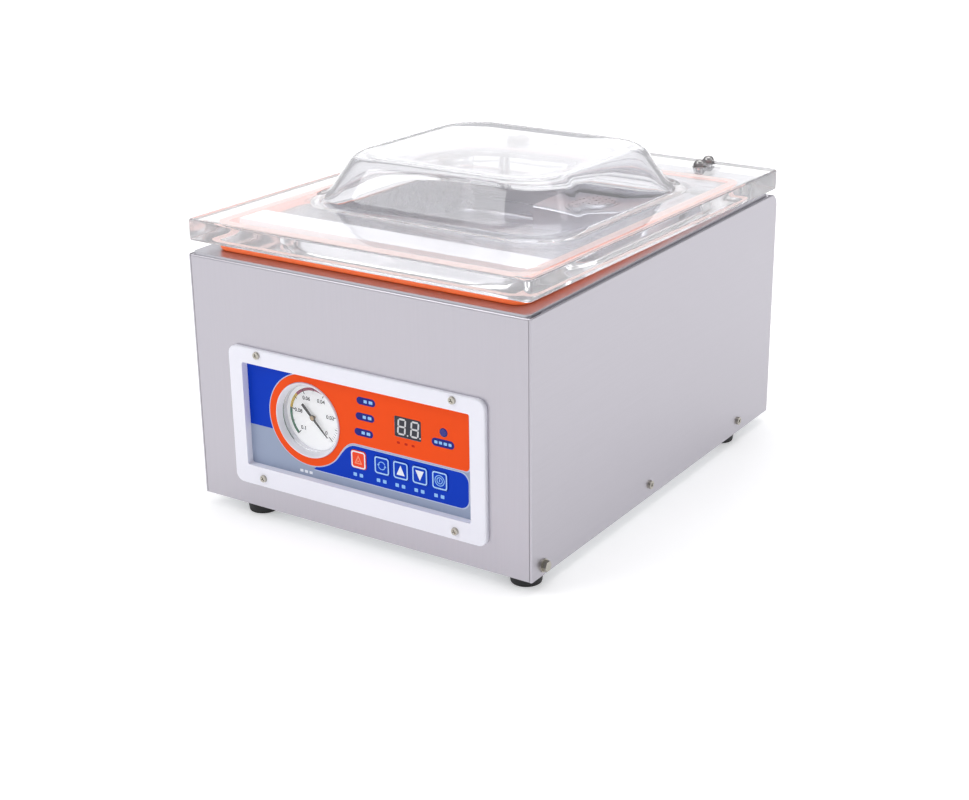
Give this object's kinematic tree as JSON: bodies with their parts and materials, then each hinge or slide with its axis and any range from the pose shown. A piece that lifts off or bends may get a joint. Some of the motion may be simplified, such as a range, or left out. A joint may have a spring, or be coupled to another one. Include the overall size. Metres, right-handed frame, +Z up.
{
  "type": "vacuum chamber sealer",
  "caption": "Table-top vacuum chamber sealer: stainless box casing, clear domed lid on an orange gasket, rear-hinged, with a lifting seal bar and a front panel with gauge, display and keys.",
  "frame": {"origin": "centre of the object's footprint, at the level of the feet's undersides", "axes": "+X to the right seen from the front, +Y from the control panel to the rear, +Z up"},
  "size_m": [0.3384, 0.4364, 0.2921],
  "materials": {
    "stainless_cover": "fine brushed stainless sheet",
    "stainless_deck": "brushed stainless plate",
    "stainless_bowl": "satin stainless pan",
    "galvanised_tray": "galvanised sheet",
    "bezel_white": "white moulded plastic, semi-gloss",
    "printed_panel": "printed polyester film, glossy",
    "key_blue": "embossed film key, glossy",
    "key_orange": "embossed film key, glossy",
    "display_window": "dark tinted window",
    "lens_blue": "tinted lens",
    "board_green": "solder mask",
    "gauge_white": "white enamel",
    "dial_white": "printed dial",
    "gauge_glass": "clear window",
    "needle_black": "black lacquer",
    "brass": "turned brass",
    "acrylic": "clear polished acrylic",
    "gasket_orange": "silicone rubber",
    "strip_white": "white extrusion",
    "silicone_white": "silicone rubber",
    "zinc_steel": "bright plated steel",
    "hinge_steel": "stainless steel",
    "spring_steel": "spring steel wire",
    "aluminium_bar": "extruded aluminium",
    "tape_brown": "coated glass cloth",
    "nichrome": "heating alloy strip",
    "rubber_black": "moulded rubber",
    "rubber_red": "silicone tube",
    "pump_cast": "painted casting",
    "motor_paint": "painted ribbed casting",
    "fan_plastic": "moulded fan",
    "cover_black": "black painted sheet",
    "oil_glass": "clear window over oil",
    "core_steel": "varnished laminations",
    "copper_winding": "varnished copper wire in tape",
    "valve_black": "moulded coil and body",
    "filter_paint": "painted canister",
    "black_plastic": "moulded nylon",
    "rocker_red": "moulded rocker"
  },
  "bodies": {
    "cabinet": {"base_plate": "galvanised_tray", "front_panel": "stainless_cover", "right_side_cover": "stainless_cover", "left_side_cover": "stainless_cover", "rear_panel": "stainless_cover", "deck": "stainless_deck", "chamber_bowl": "stainless_bowl", "suction_box": "stainless_bowl", "suction_strainer": "stainless_bowl", "rubber_feet": "rubber_black", "foot_screws": "zinc_steel", "side_cover_screws": "zinc_steel", "rear_screws": "zinc_steel", "control_bezel": "bezel_white", "bezel_screws": "zinc_steel", "panel_overlay": "printed_panel", "display_module": "display_window", "indicator_lens": "lens_blue", "control_board": "board_green", "gauge_case": "gauge_white", "gauge_movement": "brass", "gauge_dial": "dial_white", "gauge_glass": "gauge_glass", "seal_bar_guides": "hinge_steel", "air_bladder": "rubber_red", "hinge_brackets": "hinge_steel", "hinge_pins": "hinge_steel", "lid_lift_springs": "spring_steel", "pump_motor": "motor_paint", "fan_cover": "cover_black", "vacuum_pump": "pump_cast", "oil_sight_glass": "oil_glass", "pump_mounts": "rubber_black", "exhaust_filter": "filter_paint", "hoses": "rubber_black", "transformer_core": "core_steel", "transformer_winding": "copper_winding", "air_valve": "valve_black", "power_inlet": "black_plastic", "inlet_pins": "brass", "switch_frame": "black_plastic", "fuse_holder": "black_plastic"},
    "lid": {"lid_plate": "acrylic", "lid_gasket": "gasket_orange", "seal_strip_holder": "strip_white", "silicone_strip": "silicone_white", "hinge_arms": "hinge_steel", "lid_domed_nuts": "zinc_steel"},
    "sealing_bar": {"seal_bar": "aluminium_bar", "heating_ribbon": "nichrome", "release_tape": "tape_brown"},
    "stop_key": {"key_stop": "key_orange"},
    "set_key": {"key_set": "key_blue"},
    "up_key": {"key_up": "key_blue"},
    "down_key": {"key_down": "key_blue"},
    "start_key": {"key_start": "key_blue"},
    "needle": {"gauge_needle": "needle_black"},
    "rocker": {"power_rocker": "rocker_red"},
    "fan_rotor": {"motor_shaft": "hinge_steel", "cooling_fan": "fan_plastic"}
  },
  "joints": [
    {"name": "lid_hinge", "type": "hinge", "parent": "cabinet", "child": "lid", "pos_m": [0, 0.204, 0.216], "axis": [-1, 0, 0], "range_deg": [0, 55], "stiffness_Nm_per_rad": 2.2, "springref_deg": 143.24},
    {"name": "seal_bar_lift", "type": "slide", "parent": "cabinet", "child": "sealing_bar", "axis": [0, 0, 1], "range_m": [0, 0.008], "deforming": ["air_bladder"]},
    {"name": "stop_key_press", "type": "slide", "parent": "cabinet", "child": "stop_key", "axis": [0, 1, 0], "range_m": [0, 0.0005], "stiffness_N_per_m": 1500, "springref_m": -0.0003},
    {"name": "set_key_press", "type": "slide", "parent": "cabinet", "child": "set_key", "axis": [0, 1, 0], "range_m": [0, 0.0005], "stiffness_N_per_m": 1500, "springref_m": -0.0003},
    {"name": "up_key_press", "type": "slide", "parent": "cabinet", "child": "up_key", "axis": [0, 1, 0], "range_m": [0, 0.0005], "stiffness_N_per_m": 1500, "springref_m": -0.0003},
    {"name": "down_key_press", "type": "slide", "parent": "cabinet", "child": "down_key", "axis": [0, 1, 0], "range_m": [0, 0.0005], "stiffness_N_per_m": 1500, "springref_m": -0.0003},
    {"name": "start_key_press", "type": "slide", "parent": "cabinet", "child": "start_key", "axis": [0, 1, 0], "range_m": [0, 0.0005], "stiffness_N_per_m": 1500, "springref_m": -0.0003},
    {"name": "gauge_needle_turn", "type": "hinge", "parent": "cabinet", "child": "needle", "pos_m": [-0.0505, -0.2035, 0.0995], "axis": [0, -1, 0], "range_deg": [0, 270], "stiffness_Nm_per_rad": 0.001, "springref_deg": -5.73},
    {"name": "power_rocker_tilt", "type": "hinge", "parent": "cabinet", "child": "rocker", "pos_m": [0.062, 0.21, 0.053], "axis": [1, 0, 0], "range_deg": [-16, 0]},
    {"name": "fan_spin", "type": "hinge", "parent": "cabinet", "child": "fan_rotor", "pos_m": [-0.043, 0.042, 0.085], "axis": [1, 0, 0], "continuous": true}
  ]
}
